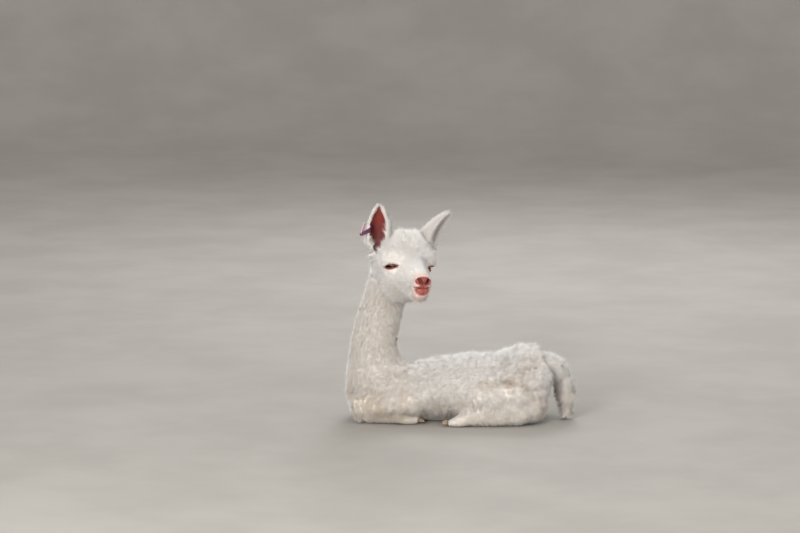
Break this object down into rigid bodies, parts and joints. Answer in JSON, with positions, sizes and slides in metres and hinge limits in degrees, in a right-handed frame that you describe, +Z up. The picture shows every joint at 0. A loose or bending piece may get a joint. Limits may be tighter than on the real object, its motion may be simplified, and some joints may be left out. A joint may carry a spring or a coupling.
{
  "type": "alpaca",
  "caption": "Life-size young white alpaca lying with its legs folded under it and its head turned back, a tag in one ear.",
  "frame": {"origin": "on the floor under the middle of the object's box", "axes": "+X towards the tail, the animal facing -X with its left side at -Y; +Z up"},
  "size_m": [0.5248, 0.2706, 0.5055],
  "materials": {
    "fleece": "soft off-white fleece in fine crimped locks, short on the face and lower legs",
    "ear_skin": "bare pink-red skin inside, thin white hair outside",
    "eye": "wet, very dark brown",
    "nail": "pale horn, lightly ridged",
    "tag": "dark purple moulded plastic, blank",
    "tag_leaf": "pale magenta moulded plastic, blank"
  },
  "bodies": {
    "root": {"head": "fleece", "neck": "fleece", "trunk": "fleece", "tail": "fleece", "ear_left": "ear_skin", "ear_right": "ear_skin", "eye_left": "eye", "eye_right": "eye", "foreleg_left_shoulder": "fleece", "foreleg_right_shoulder": "fleece", "foreleg_left_lower": "fleece", "foreleg_right_lower": "fleece", "hindleg_left_thigh": "fleece", "hindleg_right_thigh": "fleece", "hindleg_left_lower": "fleece", "hindleg_right_lower": "fleece", "foot_fore_left": "fleece", "foot_fore_right": "fleece", "foot_hind_left": "fleece", "foot_hind_right": "fleece", "nail_fore_left_inner": "nail", "nail_fore_left_outer": "nail", "nail_fore_right_inner": "nail", "nail_fore_right_outer": "nail", "nail_hind_left_inner": "nail", "nail_hind_left_outer": "nail", "nail_hind_right_inner": "nail", "nail_hind_right_outer": "nail", "tag_button": "tag", "tag_leaf": "tag_leaf"}
  },
  "joints": []
}
